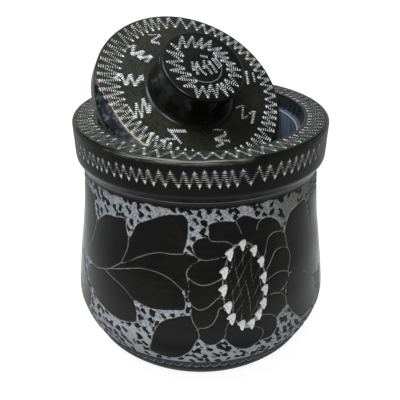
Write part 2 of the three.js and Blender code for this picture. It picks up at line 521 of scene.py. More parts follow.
# The scalloped border under the zone.
WAVE_TOP = 17.8
WAVE_DEPTH = 4.6
WAVE_COUNT = 78
WAVE_STEEPNESS = 2.2
WAVE_HALF_WIDTH = 0.27
BORDER_LINE_DROP = 0.2
BORDER_LINE_HALF_WIDTH = 0.16

# Islands and dots of black left standing in the scratched ground, with the ranges they vary in.
ISLAND_SPACING = 5.6
ISLAND_REACH = (4.0, 4.0)
ISLAND_HALF_LENGTH = (1.6, 3.0)
ISLAND_HALF_WIDTH = (1.1, 1.9)
ISLAND_LEAN = (15, 55)
MISSING_ISLANDS = 0.12
LOW_DOTS = 260
DOT_REACH = (2.0, 2.0)
DOT_SIZE = (0.45, 0.9)
DOT_TALLNESS = (0.7, 1.5)
DEEP_IN_BLACK = -1.0

body_line = along_spline(BODY)
body_climb = run_along(body_line)


def climb(height):
    """How far up the pot's side a height is, along the surface."""
    return np.interp(height, body_line[:, 1], body_climb)


top_climb = climb(ZONE_TOP)
foot_climb = climb(ZONE_FOOT)


class Zone:
    """The carved zone while it is drawn. Its arrays have one entry per vertex, with v for how far it
    is up the pot's side."""

    def __init__(self, pot):
        outside = (pot.out_r > 0.3) & (pot.height > LOWEST_MARK) & (pot.height < NECK + 1)
        self.chosen = np.flatnonzero(outside)
        self.degrees = pot.angle[self.chosen] - FRONT
        self.height = pot.height[self.chosen]
        self.v = climb(self.height)
        top = top_climb
        for size, count, start in ZONE_WANDER:
            top = top + size * np.sin(np.radians(self.degrees * count + start))
        self.ground = np.minimum(top - self.v, self.v - foot_climb)
        self.scratch, self.gouge = np.full((2, len(self.chosen)), UNMARKED)
        self.leaf_gap, self.second_gap = np.full((2, len(self.chosen)), FAR_OFF)

    def across(self, middle):
        """How far round the pot each vertex is from an angle, or from that angle half a turn on."""
        half = PATTERN_PERIOD / 2
        return ((self.degrees - middle + half) % PATTERN_PERIOD - half) * MM_PER_DEGREE

    def near(self, angle, climbed, reach):
        """The vertices round a place, with how far right of it and above it each one is."""
        u, w = self.across(angle), self.v - climbed
        near = np.flatnonzero((np.abs(u) < reach[0]) & (np.abs(w) < reach[1]))
        return near, u[near], w[near]

    def drawn(self, points):
        """The vertices round a shape, with their distance to its outline."""
        shape = np.array(points, float)
        middle = shape[:, 0].mean()
        right = (shape[:, 0] - middle) * MM_PER_DEGREE
        outline = closed_spline(np.stack([right, climb(shape[:, 1])], axis=1))
        u, v = self.across(middle), self.v
        low, high = outline.min(axis=0) - SHAPE_REACH, outline.max(axis=0) + SHAPE_REACH
        near = np.flatnonzero((u > low[0]) & (u < high[0]) & (v > low[1]) & (v < high[1]))
        return near, outline_distance(outline, u[near], v[near])

    def draw_leaves(self):
        """Leaves and petals stay black in the ground, inside a scratched outline."""
        for shape in LEAVES + PETALS:
            near, far = self.drawn(shape)
            line = LINE_HALF_WIDTH - np.abs(far)
            gap = self.leaf_gap[near]
            self.scratch[near] = np.where(far < 0, line, np.maximum(self.scratch[near], line))
            self.ground[near] = np.minimum(self.ground[near], far)
            self.second_gap[near] = np.minimum(self.second_gap[near], np.maximum(gap, far))
            self.leaf_gap[near] = np.minimum(gap, far)

    def join_leaves(self):
        """Leaves that nearly touch share one line between them."""
        self.open_width = self.leaf_gap + self.second_gap
        thin = (self.open_width < JOINED_GAP) & (self.second_gap > 0)
        shared = SHARED_HALF_WIDTH - np.abs(self.leaf_gap - self.second_gap) / 2
        self.ground = np.minimum(self.ground, self.open_width - JOINED_GAP)
        self.scratch = np.where(thin, shared, self.scratch)

    def wear_outlines(self):
        for angle, height, radius in WORN_LINES:
            inside = radius - np.hypot(self.across(angle), self.v - climb(height))
            self.scratch = self.scratch - np.clip(inside / WORN_FADE, 0, WORN_MOST)

    def draw_flower_centre(self):
        """An oval with a scratched rim, hatched with two sets of curved and partly worn lines."""
        u, w = self.across(FLOWER_CENTRE[0]), self.v - climb(FLOWER_CENTRE[1])
        half_u = FLOWER_HALF_ANGLE * MM_PER_DEGREE
        gap = (np.sqrt((u / half_u)**2 + (w / FLOWER_HALF_HEIGHT)**2) - 1) * half_u
        hatch = np.full(len(u), UNMARKED)
        for share_u, share_w, spacing, offset, half_width in HATCHES:
            place = share_u * u + share_w * w
            place = place + HATCH_SWAY * np.sin(w / SWAY_UP + place / SWAY_ACROSS) + offset
            shift = np.floor(place / spacing) * HATCH_WEAR_SHIFT
            worn = HATCH_WEAR * (1 + np.sin(w / HATCH_WEAR_LENGTH + shift))
            from_line = np.abs(place % spacing - spacing / 2)
            hatch = np.maximum(hatch, half_width - worn - from_line)
        rim = FLOWER_LINE - np.abs(gap)
        self.ground = np.minimum(self.ground, gap)
        self.scratch = np.maximum(np.where(gap < 0, hatch, self.scratch), rim)

    def cut_notches(self):
        """Deep notches round the flower's centre, those on the left a little larger."""
        for angle, height in NOTCHES:
            near, u, w = self.near(angle, climb(height), NOTCH_BOX)
            size = LEFT_NOTCH if angle < LAST_LEFT_NOTCH else RIGHT_NOTCH
            outline = closed_spline(np.array(NOTCH_SHAPE) * size)
            self.gouge[near] = np.maximum(self.gouge[near], -outline_distance(outline, u, w))

    def leave(self, near, edge):
        """Leaves the ground black where edge is below 0."""
        before = self.ground[near]
        self.ground[near] = np.where(before > DEEP_IN_BLACK, np.minimum(before, edge), before)

    def leave_islands(self):
        """Bent, leaning islands in staggered rows."""
        rows = round((top_climb - foot_climb) / ISLAND_SPACING)
        columns = round(PATTERN_PERIOD * MM_PER_DEGREE / ISLAND_SPACING)
        for row in range(rows):
            for column in range(columns):
                shift = 0.5 * (row % 2) + noise.uniform(-0.27, 0.27)
                angle = (column + shift) * PATTERN_PERIOD / columns - PATTERN_PERIOD / 2
                climbed = foot_climb + (row + 0.5 + noise.uniform(-0.25, 0.25)) * ISLAND_SPACING
                half_length = noise.uniform(*ISLAND_HALF_LENGTH)
                half_width = noise.uniform(*ISLAND_HALF_WIDTH)
                lean = math.radians(noise.uniform(*ISLAND_LEAN))
                if noise.random() < MISSING_ISLANDS:
                    continue
                near, u, w = self.near(angle, climbed, ISLAND_REACH)
                bent = u + 0.7 * np.sin(w * 1.1 + column * 2.4)
                p = bent * math.sin(lean) - w * math.cos(lean)
                q = bent * math.cos(lean) + w * math.sin(lean)
                edge = (np.abs(p / half_length)**3 + np.abs(q / half_width)**3)**(1 / 3) - 1
                self.leave(near, edge * half_width)

    def leave_dots(self):
        """Small dots in the lowest part of the ground."""
        for _ in range(LOW_DOTS):
            angle = noise.uniform(-PATTERN_PERIOD / 2, PATTERN_PERIOD / 2)
            height = noise.uniform(ZONE_FOOT + 1, ZONE_FOOT + 30)
            size = noise.uniform(*DOT_SIZE)
            tall = noise.uniform(*DOT_TALLNESS)
            near, u, w = self.near(angle, climb(height), DOT_REACH)
            edge = np.hypot((u + 0.6 * w) / size, w / (size * tall)) - 1
            self.leave(near, edge * size)

    def edge_leaves(self):
        """Runs bright ground along each leaf where the ground is wide, and lightens the ground low down as
        painted light bounced up from the floor.
        """
        wide = faded(self.open_width, 2.0, 1.0)
        in_zone = (self.v < top_climb - 2) & (self.v > foot_climb)
        beside = (self.leaf_gap > EDGING_START) & (self.leaf_gap < EDGING_WIDTH)
        edging = np.minimum(self.leaf_gap, EDGING_WIDTH - self.leaf_gap) * 0.8
        edged = np.maximum(self.ground, edging)
        self.ground = np.where(beside & (wide > 0.5) & in_zone, edged, self.ground)
        self.scratch = np.where(self.ground > 0.2, UNMARKED, self.scratch)
        beside_leaf = 0.5 * wide * np.clip(1.1 - np.abs(self.leaf_gap - 0.35) / 0.4, 0, 1)
        # Low down, the ground is made lighter as painted light bounced up from the floor.
        self.bright = np.maximum(beside_leaf, 0.95 * faded(self.height, 48, -22))

    def draw_border(self):
        """Scallops, with ground down to them from the line under the zone."""
        swing = 2 * ((self.degrees * WAVE_COUNT / 360.0) % 1.0) - 1
        wave = climb(WAVE_TOP - WAVE_DEPTH * np.sqrt(np.maximum(1 - swing**2, 0)))
        slope = 1.0 / np.sqrt(1 + (WAVE_STEEPNESS * swing)**2)
        scallop = WAVE_HALF_WIDTH - np.abs(self.v - wave) * slope
        line = BORDER_LINE_HALF_WIDTH - np.abs(self.v - foot_climb + BORDER_LINE_DROP)
        self.gouge = np.maximum(np.maximum(self.gouge, scallop), line)
        self.ground = np.maximum(self.ground, np.minimum(self.v - wave, foot_climb - self.v))

    def tint(self):
        """The ground is olive on the right, most at the top, and dim in the border."""
        right = self.across(50.0) / MM_PER_DEGREE
        side = faded(right, -30, 22) * faded(right, 38, -8)
        self.olive = side * (0.34 + 0.30 * faded(self.height, 92, 18))
        in_border = self.v < foot_climb - 0.1
        self.tone = np.where(in_border, 0.05, 1.0)
        self.bright = np.where(in_border, 0.0, self.bright)


def carve_zone(pot):
    zone = Zone(pot)
    zone.draw_leaves()
    zone.join_leaves()
    zone.wear_outlines()
    zone.draw_flower_centre()
    zone.cut_notches()
    zone.leave_islands()
    zone.leave_dots()
    zone.edge_leaves()
    zone.draw_border()
    zone.tint()
    pot.field("tone", 1.0)
    for name in ("ground", "scratch", "gouge", "tone", "olive", "bright"):
        pot.field(name)[zone.chosen] = getattr(zone, name)


# The rest of the pot's ornament, in degrees from the front

BAND_TOPS = [
    -54.4, -51.5, -47.8, -44.8, -41, -36.7, -33, -29.1, -25.2, -21.5, -16.9, -12.1, -6.7,
    -2.4, 1.5, 5.5, 9.5, 12.5, 17, 24, 29, 34.5, 39, 43, 47, 51.5,
]
BAND_TOP = 148.7
BAND_FOOT = 139.2
BAND_PITCH = 5.0
BAND_DASHES = 7
BAND_LEAN = 5.0
BOLD_CHANGE = 22.0
RIM_FRONT = [-62, -56, -50.5, -44, -37, -30.5, -24, -17.5, -11, -4.5, 2, 8.5, 15, 21, 27, 33, 38.5, 44]
RIM_PITCH = 4.3
RIM_OUTER = 77.0
RIM_INNER = 67.0
RIM_CUTS = (0.15, 0.22)
STROKES_FROM = -68.0
STROKES_TO = 52.0
INCISED_LINE = 127.2
INCISED_HALF_WIDTH = 0.42
NECK_RADIUS = 73.0


def teeth_round(first, pitch, earliest, latest):
    """Teeth (start, middle, end) that begin with a row of angles and go on, a pitch apart, until they
    meet its start again. Each middle is at a share of its tooth between earliest and latest."""
    gap = 360 + first[0] - first[-1]
    count = round(gap / pitch)
    more = [first[-1] + gap * k / count + noise.uniform(-0.6, 0.6) for k in range(1, count)]
    tips = first + more + [first[0] + 360]
    for here, there in zip(tips, tips[1:]):
        yield here, here + (there - here) * noise.uniform(earliest, latest), there


def carve_band(pot):
    """A zigzag round the collar: dashes down and up each tooth, and wedges at its tips. Its falling
    legs are the bold ones up to BOLD_CHANGE, and its rising ones after that."""
    side = (pot.out_r > 0.7) & (pot.height > COLLAR_FOOT) & (pot.height < RIM - 1)
    collar = Patch(pot, side, pot.height)
    for here, middle, there in teeth_round(BAND_TOPS, BAND_PITCH, 0.5, 0.62):
        right = turned_from(here)
        top = BAND_TOP + 0.045 * max(min(right, 0), -45) + noise.uniform(-0.4, 0.4)
        foot = BAND_FOOT + 0.035 * min(max(right - 15, 0), 40) + noise.uniform(-0.3, 0.3)
        short = 1 - 0.3 * faded(right, -18, -15)
        bold, fine = (1.35, 0.1 + 0.12 * short), (1.0, 0.16)
        falling, rising = (bold, fine) if right < BOLD_CHANGE else (fine, bold)
        for end, (half_length, thick) in ((here, falling), (there, rising)):
            for k in range(BAND_DASHES):
                t = (k + 0.5) / (BAND_DASHES + 0.1)
                angle = end + (middle - end) * t + FRONT
                level = top - 1.2 + (foot + 0.8 - top) * t
                half = (half_length - 0.3 * t) * short * noise.uniform(0.85, 1.15)
                collar.dash(angle, level, half, thick * noise.uniform(0.9, 1.15), BAND_LEAN)
        collar.wedge(here + FRONT, top - 0.9, 0.5, 1.7)
        collar.dash(here + FRONT, top - 1.0, 1.1, 0.28, BAND_LEAN)
        collar.wedge(middle + FRONT, foot + 1.2, 0.85, -3.0)


def carve_rim(pot):
    """A zigzag on the flat rim, finer towards the sides, with a stroke at each inner tip, and at the
    outer ones in front."""
    flat = Patch(pot, (pot.out_z > 0.9) & (pot.height > RIM - 0.5), pot.radius)
    for here, middle, there in teeth_round(RIM_FRONT, RIM_PITCH, 0.4, 0.6):
        outer = RIM_OUTER + noise.uniform(-0.4, 0.3)
        inner = RIM_INNER + noise.uniform(-0.5, 0.8)
        fresh = 1 - 0.35 * faded(abs(turned_from(here)), 30, 20)
        halves = (0.9 * fresh, 0.8 * fresh, fresh)
        for end in (here, there):
            flat.ladder((end + FRONT, outer), (middle + FRONT, inner), halves, RIM_CUTS)
        if STROKES_FROM < here < STROKES_TO:
            beside = here + FRONT + noise.uniform(-0.8, 0.8)
            flat.stroke((here + FRONT, outer), (beside, outer - 1.8), 0.26, 0.16)
        flat.stroke((middle + FRONT, inner), (middle + FRONT, inner + 2.0), 0.34, 0.18)


def carve_neck(pot):
    """One line incised round the neck, under the collar."""
    from_line = np.abs(pot.height - INCISED_LINE)
    neck = (pot.out_r > 0.5) & (from_line < 3) & (pot.radius > NECK_RADIUS)
    pot.fill("scratch", neck, np.maximum(pot.field("scratch"), INCISED_HALF_WIDTH - from_line))


# The lid's ornament

# Zigzags between the border and the knob, with their half widths, and the ones on the knob, all in
# (angle, radius) on the lid.
LID_CROSSINGS = [
    ([(-168, 48.5), (-178, 46.5)], 0.4),
    ([(-178, 46), (-167, 43.5)], 0.75),
    ([(-166, 43), (-173, 40)], 1.1),
    ([(-140, 50), (-151, 47)], 0.35),
    ([(-151, 47), (-141, 43.5), (-153, 40), (-142, 39), (-155, 34), (-143, 33.5)], 1.15),
    ([(-112, 48.5), (-118, 45.5), (-107, 41.5), (-120, 39.5), (-107, 36), (-123, 32.5),
     (-115, 28), (-126, 29)], 1.1),
    ([(-116, 32), (-126, 27)], 0.9),
    ([(-86, 44.5), (-74, 44.5), (-88, 38.5), (-72, 41), (-92, 33)], 0.7),
    ([(-92, 33), (-73, 35), (-88, 28), (-74, 27)], 1.1),
    ([(-47, 36), (-28, 31.5)], 1.1),
    ([(-46, 23.5), (-30, 31.5)], 0.8),
    ([(-44, 35.5), (-39, 37.5), (-31, 41.5)], 0.85),
    ([(-48, 46), (-44, 42), (-37, 39.5)], 0.8),
    ([(-56, 43), (-55, 52)], 0.8),
    ([(5, 30), (17, 33.5)], 0.4),
    ([(17, 34.5), (16, 37), (2, 37), (15, 42)], 0.9),
    ([(2, 37), (8, 41.5), (0, 42.5)], 0.8),
    ([(55, 31.5), (62, 36), (45, 37.5), (51, 40.5)], 0.55),
    ([(54, 41), (59, 44), (45, 44.5)], 0.8),
    ([(100, 47), (87, 43)], 0.9),
    ([(97, 51), (88, 48.5)], 0.6),
]
KNOB_ZIGZAG = [
    (-169, 24), (-159, 15.5), (174, 22.5), (178, 13.5), (158, 21.5), (162, 13), (142, 22), (141, 13),
    (121, 21), (124, 12.5), (108, 21.5), (116, 12), (98, 19.5), (96, 13), (84, 22), (82, 15.5),
    (72, 24.5), (69, 15), (60, 25), (55, 16.5), (41, 25), (37, 15.5), (27, 25), (22, 15.5),
    (15, 25), (12, 15), (-3, 24), (-7, 14.5), (-17, 24), (-26, 16), (-32, 25.5), (-41, 18),
    (-57, 22.5), (-42, 13.5), (-73, 22), (-64, 12), (-91, 22.5), (-89, 13), (-107, 23.5), (-113, 13),
    (-128, 24), (-131, 13), (-144, 24), (-143, 18),
]
KNOB_SWIRL = [
    [(-122, 7.5), (-70, 8.5)], [(-138, 4.5), (-82, 5.5), (-47, 9)], [(-108, 4), (-42, 5), (-7, 7.5)],
    [(151, 4), (-19, 3)], [(120, 5.5), (78, 4)], [(87, 1.5), (21, 8)], [(113, 5.5), (42, 9.5)],
    [(118, 9), (67, 10.5)], [(113, 11), (76, 12)], [(174, 7), (133, 7.5)],
]
BORDER_TIPS = [
    35, 40, 48, 53, 58, 63, 69, 76, 83, 89, 95, 101, 106, 112, 118, 123, 129, 134, 140, 147, 154, 163, 171,
    178, 183, 188, 194, 198, 204, 210, 217, 222, 228, 234, 240, 246,
]
BORDER_PITCH = 6.0
BORDER_OUTER = 60.2
BORDER_CUTS = (0.18, 0.25)
CROSSING_CUTS = (0.2, 0.3)
KNOB_CUTS = (0.18, 0.24)
SWIRL_CUTS = (0.2, 0.26)

# The turned line that half rings the swirl: its radius, how far that sways, and its half width.
KNOB_RING = 12.2
KNOB_RING_SWAY = 0.9
KNOB_RING_HALF_WIDTH = 0.22

# The lid's worn edge: how far in it reaches, how steeply it drops, and where it is worst.
WEAR_WIDTH = 7.0
WEAR_SLOPE = 0.7
WEAR_FROM = -112.0
WEAR_TO = -38.0


def border_inner(angle):
    return 48.5 + 4.8 * math.cos(math.radians(angle - 120))


def wear_at(angle):
    """How far the lid's worn edge reaches in, from 0 to 1."""
    a = turned_from(angle)
    return faded(a, WEAR_FROM, 20) * faded(a, WEAR_TO, -12)


def carve_border(face):
    """A zigzag round the edge of the lid's face, shorter where the edge is worn away."""
    for here, middle, there in teeth_round(BORDER_TIPS, BORDER_PITCH, 0.42, 0.58):
        outer = BORDER_OUTER - 5.6 * wear_at(here) + noise.uniform(-0.5, 0.2)
        inner = border_inner(middle) + noise.uniform(-0.6, 0.6)
        faint = 0.35 * max(0.0, 1 - abs(turned_from(here + 150)) / 40)
        halves = [half * (1 - faint) for half in (1.05, 0.7, 0.8)]
        for end in (here, there):
            face.ladder((end, outer), (middle, inner), halves, BORDER_CUTS, 10.0)
        face.stroke((middle, inner), (middle + noise.uniform(-0.3, 0.3), inner + 1.4), 0.4, 0.2)


def carve_crossings(face):
    for tips, width in LID_CROSSINGS:
        halves = (width * 1.1, width * 0.95, width * 0.9)
        for start, end in zip(tips, tips[1:]):
            face.ladder(start, end, halves, CROSSING_CUTS, 20.0)
            face.stroke(start, end, width * 0.2, width * 0.14)


def carve_knob(lid):
    """A zigzag round the knob's top, with a stroke at each tip, and a swirl inside it."""
    on_top = lid.height > KNOB_TOP - 0.5
    knob = Patch(lid, (lid.out_z > 0.9) & on_top, lid.radius)
    for start, end in zip(KNOB_ZIGZAG, KNOB_ZIGZAG[1:] + KNOB_ZIGZAG[:1]):
        halves = (0.5, 0.85, 0.75) if start[1] > end[1] else (0.75, 0.85, 0.5)
        knob.ladder(start, end, halves, KNOB_CUTS, 12.0)
    for angle, radius in KNOB_ZIGZAG:
        inwards = 1.2 if radius < 19 else -1.2
        knob.stroke((angle, radius), (angle, radius + inwards), 0.26, 0.2)
    for tips in KNOB_SWIRL:
        for start, end in zip(tips, tips[1:]):
            knob.ladder(start, end, (0.6, 0.7, 0.8), SWIRL_CUTS, 12.0, 1.2)
    sway = KNOB_RING_SWAY * np.sin(np.radians(lid.angle - 30))
    ring = KNOB_RING_HALF_WIDTH - np.abs(lid.radius - KNOB_RING + sway)
    half = on_top & (lid.radius < 14) & (np.cos(np.radians(lid.angle - 35)) > 0)
    lid.fill("scratch", half, ring)


# Pieces

def ring_at(rings, point):
    """The number of the ring nearest to a point of the profile."""
    return int(np.argmin([math.dist(ring[:2], point) for ring in rings]))


def bare_inside(pot, outer):
    """The inside is bare stone, less so above the ledge, which has a painted highlight along its edge."""
    on_ledge = faded(pot.height, LEDGE + 0.4, -0.5)
    below_ledge = faded(pot.height, LEDGE - 0.4, -0.5)
    bare = np.maximum(0.12 + 0.5 * on_ledge, below_ledge)
    from_edge = np.hypot(pot.radius - LEDGE_LIP[0], pot.height - LEDGE_LIP[1])
    pot.fill("bare", ~outer, bare)
    pot.fill("lip", ~outer, np.clip(1.2 - from_edge / 0.55, 0, 1))


def scuff_and_sheen_collar(pot, outer):
    """Scuffs on the rim, and on the collar's rounded edge at the front, there in a band that rises
    and widens to the right. That band is partly a painted sheen, and the rim's extra grey on the front
    left is partly painted sheen too."""
    right = turned_from(pot.angle - FRONT)
    share = faded(pot.height, COLLAR_SHOULDER, RIM - COLLAR_SHOULDER)
    centre = 0.25 + 0.35 * faded(right, -46, 26)
    spread = 0.3 + 0.5 * faded(right, -40, 25)
    at_front = faded(right, -46, 12) * faded(right, 24, -12) * (pot.height > COLLAR_SHOULDER - 0.8)
    # The band on the rounded edge at the front is partly a painted sheen, partly real scuffing.
    edge = 1.5 * at_front * np.clip(1.2 - np.abs(share - centre) / spread, 0, 1)
    # The rim is scuffed all round, and greyer on the front left, partly as a painted sheen.
    flat = 0.28 + 0.26 * faded(right, 10, -40) * faded(right, -140, 30)
    pot.fill("scuff_and_sheen", outer, np.clip(np.where(pot.out_z > 0.95, flat, edge), 0, 1))


def make_pot():
    floor = FLOOR_CORNER[-1]
    rings = ring_list(
        ([(0, 0), (FOOT_FLAT, 0)], 8.0, False),
        (along_spline(BODY), 0.52, True),
        (along_bezier(UNDERCUT), 0.6, True),
        ([UNDERCUT[-1], COLLAR_EDGE[0]], 0.3, True),
        (along_bezier(COLLAR_EDGE), 0.5, True),
        ([COLLAR_EDGE[-1], MOUTH_EDGE[0]], 0.35, True),
        (along_bezier(MOUTH_EDGE), 0.35, True),
        ([MOUTH_EDGE[-1], LEDGE_CORNER], 1.0, True),
        ([LEDGE_CORNER, LEDGE_EDGE[0]], 0.6, True),
        (along_bezier(LEDGE_EDGE), 0.35, True),
        ([LEDGE_EDGE[-1], WALL[0]], 0.5, True),
        (along_spline(WALL), 2.4, False),
        (along_bezier(FLOOR_CORNER), 2.4, False),
        ([floor, (0, floor[1])], 6.0, False),
    )
    pot = Turning(rings, POT_SEAM)
    outer = pot.ring < ring_at(rings, MOUTH_EDGE[-1])
    bare_inside(pot, outer)
    scuff_and_sheen_collar(pot, outer)
    carve_zone(pot)
    carve_band(pot)
    carve_rim(pot)
    carve_neck(pot)
    pot.press_marks()
    return pot.object("soapstone_pot")


def wear_edge(lid, side):
    """Wears the edge of the disc down, with broken stone where it is gone, a pale line round that,
    partly a painted highlight on the edge, and brown beside the line."""
    wear = wear_at(lid.angle)
    reach_in = LID_RADIUS - WEAR_WIDTH * wear
    on_disc = (lid.radius > 40) & (lid.height > 0.3)
    share = faded(lid.height, LID_SIDE_FOOT, LID_SIDE_TOP - LID_SIDE_FOOT)
    drop = WEAR_SLOPE * np.maximum(lid.radius - reach_in, 0) * np.where(side, share, 1.0)
    lid.height = lid.height - np.where(on_disc, drop, 0.0)
    # A pale line where the stain is worn off, partly a painted highlight on the edge.
    line = np.clip(1 - np.abs(lid.radius - reach_in) / 0.7, 0, 1) * (wear > 0.05)
    line = line * np.clip((turned_from(lid.angle) + 98) / 24, 0.12, 1)
    beside = wear * np.exp(-((reach_in - lid.radius) / 3.0)**2)
    broken = faded(lid.radius, reach_in, 0.6) * np.clip(wear * 4, 0, 1)
    lid.fill("worn", on_disc & (lid.height > 1), line)
    lid.fill("scuff_and_sheen", on_disc & (lid.radius < reach_in), beside)
    lid.fill("chip", on_disc & (lid.radius > 50), broken)


def dull_and_sheen_lid(lid, side):
    """The face has a haze, most of it towards the back, partly a painted sheen, and the disc's side has
    a painted highlight on the left.
    """
    on_face = faded(lid.radius, 29, 3) * (lid.height > 1)
    # A haze on the face, partly a painted sheen.
    haze_and_sheen = on_face * (0.10 + 0.55 * np.cos(np.radians(lid.angle + 125) / 2)**2)
    # How much painted highlight the disc's side gets on the left.
    left_highlight = np.clip(-np.sin(np.radians(lid.angle + 20)), 0, 1)
    pale = side & (lid.radius > 60) & (lid.height > 0.3)
    lid.fill("haze_and_sheen", ~pale, haze_and_sheen)
    lid.fill("haze_and_sheen", pale, left_highlight)
    # The pale line's colour adds to the painted highlight on the left of the side.
    lid.fill("worn", pale, 0.2 * left_highlight)


def make_lid():
    rings = ring_list(
        ([(0, 0), LID_FOOT_EDGE[0]], 8.0, False),
        (LID_FOOT_EDGE, 0.3, True),
        ([LID_FOOT_EDGE[-1], LID_TOP_EDGE[0]], 0.8, True),
        (LID_TOP_EDGE, 0.4, True),
        ([LID_TOP_EDGE[-1], KNOB_FLARE[0]], 0.34, True),
        (along_bezier(KNOB_FLARE), 0.8, True),
        ([KNOB_FLARE[-1], KNOB_SHOULDER[0]], 0.8, True),
        (along_bezier(KNOB_SHOULDER), 0.4, True),
        ([KNOB_SHOULDER[-1], KNOB_CENTRE[0]], 0.32, True),
        (KNOB_CENTRE, 0.6, False),
    )
    lid = Turning(rings, LID_SEAM)
    side = lid.height < LID_SIDE_TOP
    on_face = (lid.out_z > 0.9) & (np.abs(lid.height - LID_FACE) < 1) & (lid.radius > 30)
    face = Patch(lid, on_face, lid.radius)
    carve_border(face)
    carve_crossings(face)
    carve_knob(lid)
    lid.press_marks()
    wear_edge(lid, side)
    dull_and_sheen_lid(lid, side)
    heading = Matrix.Rotation(math.radians(LID_HEADING), 4, "Z")
    place = Matrix.Translation([v * METRES for v in LID_PLACE])
    return lid.object("soapstone_lid", heading @ place @ Matrix.Rotation(math.radians(LID_TIP), 4, "Y"))


# Materials

class Nodes:
    """Short calls that make the nodes of a material or of the world."""

    def __init__(self, owner):
        owner.use_nodes = True
        self.owner = owner
        self.tree = owner.node_tree
        self.tree.nodes.clear()

    def add(self, kind, settings=None, **inputs):
        """A node with its inputs by name, an underscore for each space."""
        node = self.tree.nodes.new(kind)
        for key, value in (settings or {}).items():
            setattr(node, key, value)
        for key, value in inputs.items():
            self.feed(node.inputs[key.replace("_", " ")], value)
        return node

    def feed(self, socket, value):
        if isinstance(value, bpy.types.NodeSocket):
            self.tree.links.new(value, socket)
        elif isinstance(value, tuple) and len(value) == 3 and socket.type == "RGBA":
            socket.default_value = (*value, 1.0)
        else:
            socket.default_value = value

    def join(self, kind, first, second, **settings):
        """A node fed by its first two inputs."""
        node = self.add(kind, settings)
        self.feed(node.inputs[0], first)
        self.feed(node.inputs[1], second)
        return node.outputs[0]

    def plus(self, a, b):
        return self.join("ShaderNodeMath", a, b, operation="ADD")

    def minus(self, a, b):
        return self.join("ShaderNodeMath", a, b, operation="SUBTRACT")

    def times(self, a, b):
        return self.join("ShaderNodeMath", a, b, operation="MULTIPLY")

    def larger(self, a, b):
        return self.join("ShaderNodeMath", a, b, operation="MAXIMUM")

    def weighted(self, a, weight_a, b, weight_b):
        return self.plus(self.times(a, weight_a), self.times(b, weight_b))

    def between(self, share, a, b):
        """The number that is a where share is 0 and b where it is 1."""
        return self.plus(self.times(self.minus(1.0, share), a), self.times(share, b))

    def mix(self, share, a, b):
        """The same for colours."""
        node = self.add("ShaderNodeMix", {"data_type": "RGBA"}, Factor=share)
        self.feed(node.inputs[6], a)
        self.feed(node.inputs[7], b)
        return node.outputs[2]

    def ramp(self, value, low, high, to_low=0.0, to_high=1.0):
        node = self.add("ShaderNodeMapRange", {"interpolation_type": "SMOOTHSTEP"}, Value=value,
                        From_Min=low, From_Max=high, To_Min=to_low, To_Max=to_high)
        return node.outputs[0]

    def attribute(self, name):
        return self.add("ShaderNodeAttribute", {"attribute_name": name}).outputs["Fac"]

    def noise(self, vector, scale, detail, roughness):
        node = self.add("ShaderNodeTexNoise", Vector=vector, Scale=scale, Detail=detail,
                        Roughness=roughness)
        return node.outputs["Fac"]

    def split(self, vector):
        return self.add("ShaderNodeSeparateXYZ", Vector=vector).outputs


STONE_IOR = 1.28
POLISHED = (0.18, 0.30)
CUT_ROUGHNESS = 0.75
BARE_ROUGHNESS = 0.40
BUMP_STRENGTH = 0.35
BUMP_DISTANCE = 0.0002
BLACK = (0.0026, 0.0032, 0.0029)
OLIVE = (0.0080, 0.0077, 0.0048)
TURNED = (0.0095, 0.0090, 0.0075)
# GROUND_BRIGHT edges the leaves, and lightens the low ground as painted light.
GROUND_BRIGHT = (0.56, 0.57, 0.61)
GROUND_PALE = (0.46, 0.475, 0.52)
GROUND_MID = (0.24, 0.26, 0.29)
GROUND_DIM = (0.045, 0.06, 0.072)
GROUND_OLIVE = (0.105, 0.105, 0.07)
BORDER_DIM = (0.055, 0.066, 0.078)
SCRATCH = (0.23, 0.23, 0.215)
GOUGE = (0.78, 0.78, 0.78)
# Scuff colours. The tan one is a painted sheen on the collar's front edge, mixed with real scuffing.
SCUFF_DARK = (0.016, 0.017, 0.012)
SCUFF_PALE = (0.085, 0.085, 0.070)
SCUFF_TAN_SHEEN = (0.15, 0.15, 0.135)
# The pale worn line, partly a painted highlight, and also a painted highlight on the disc's left side.
WORN_LINE_AND_GLINT = (0.42, 0.40, 0.31)
BROWN = (0.060, 0.050, 0.026)
# The haze colour, which also paints a sheen on the face and a highlight on the disc's left side.
HAZE_AND_SHEEN = (0.042, 0.042, 0.031)
CHIP_DARK = (0.004, 0.0065, 0.009)
CHIP_PALE = (0.066, 0.082, 0.088)
BARE_STONE = (0.135, 0.18, 0.235)
BARE_DARK = (0.04, 0.052, 0.066)
# The colour of the painted highlight along the ledge's edge.
LEDGE_GLINT = (0.26, 0.29, 0.32)


